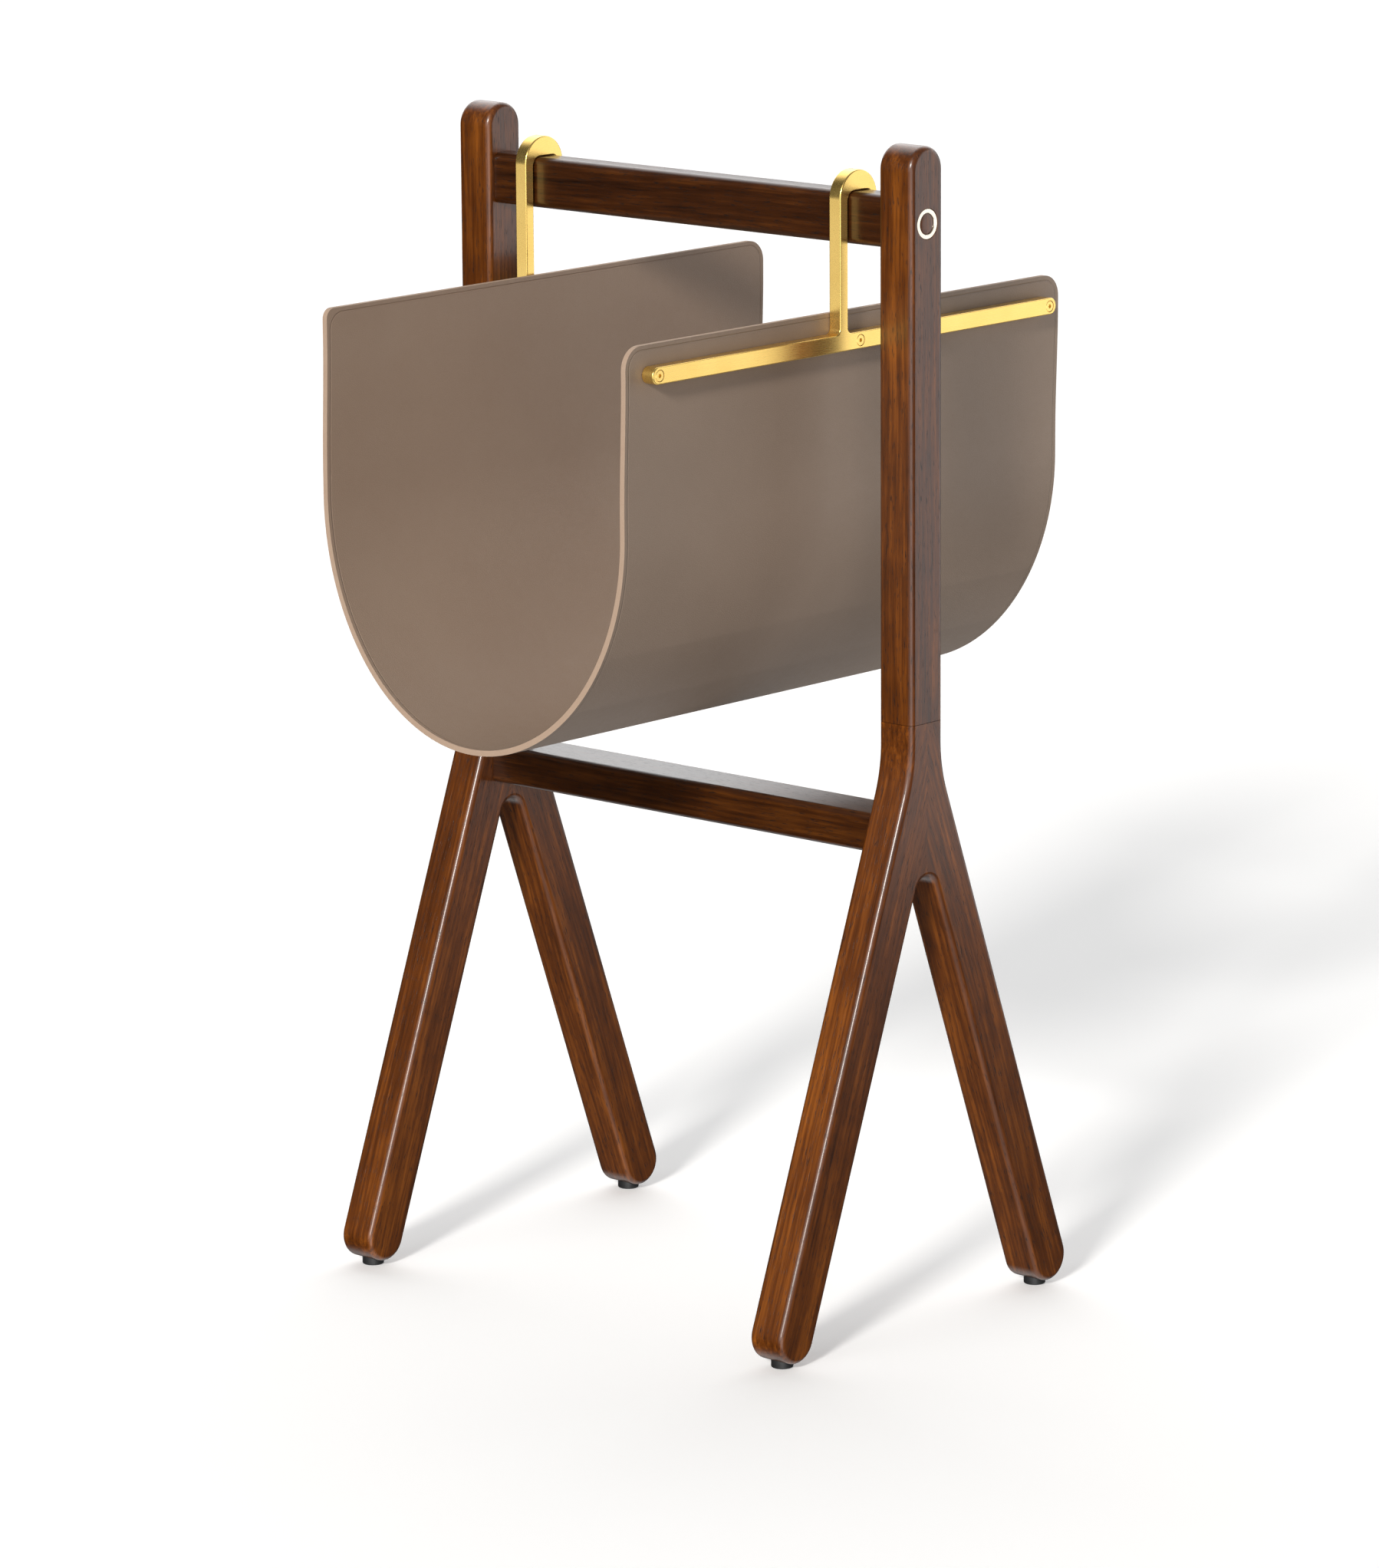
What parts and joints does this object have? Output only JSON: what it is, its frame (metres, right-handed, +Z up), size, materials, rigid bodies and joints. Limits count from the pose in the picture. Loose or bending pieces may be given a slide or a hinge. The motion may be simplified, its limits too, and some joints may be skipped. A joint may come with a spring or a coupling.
{
  "type": "magazine rack",
  "caption": "Free-standing magazine rack: two inverted-Y wooden side frames joined by rails, with a leather sling hung from the top rail on T-shaped brass hangers.",
  "frame": {"origin": "On the floor, under the middle of the rack.", "axes": "+X along the rails towards the right side frame, +Y along the sling's trough towards the rear legs, +Z up."},
  "size_m": [0.409, 0.437, 0.8],
  "materials": {
    "walnut": "satin lacquered walnut",
    "beech": "raw beech dowel",
    "brass": "polished",
    "steel": "plain",
    "leather": "thick saddle leather, raw cut edges",
    "nylon": "moulded"
  },
  "bodies": {
    "frame": {"left_bolt_plug": "walnut", "left_bolt_ring": "brass", "left_cross_dowel": "beech", "left_front_glide": "nylon", "left_front_glide_screw": "steel", "left_front_leg": "walnut", "left_front_post_dowel": "beech", "left_front_stretcher_dowel": "beech", "left_rail_bolt": "steel", "left_rail_insert": "steel", "left_rear_glide": "nylon", "left_rear_glide_screw": "steel", "left_rear_leg": "walnut", "left_rear_post_dowel": "beech", "left_rear_stretcher_dowel": "beech", "left_upright": "walnut", "lower_rail": "walnut", "right_bolt_plug": "walnut", "right_bolt_ring": "brass", "right_cross_dowel": "beech", "right_front_glide": "nylon", "right_front_glide_screw": "steel", "right_front_leg": "walnut", "right_front_post_dowel": "beech", "right_front_stretcher_dowel": "beech", "right_rail_bolt": "steel", "right_rail_insert": "steel", "right_rear_glide": "nylon", "right_rear_glide_screw": "steel", "right_rear_leg": "walnut", "right_rear_post_dowel": "beech", "right_rear_stretcher_dowel": "beech", "right_upright": "walnut", "top_rail": "walnut"},
    "sling": {"leather_sling": "leather", "left_backing_strip": "steel", "left_front_hanger_screw": "brass", "left_hanger": "brass", "left_middle_hanger_screw": "brass", "left_rear_hanger_screw": "brass", "right_backing_strip": "steel", "right_front_hanger_screw": "brass", "right_hanger": "brass", "right_middle_hanger_screw": "brass", "right_rear_hanger_screw": "brass"}
  },
  "joints": [
    {"name": "sling_lift", "type": "slide", "parent": "frame", "child": "sling", "axis": [0, 0, 1], "range_m": [0, 0.03]}
  ]
}
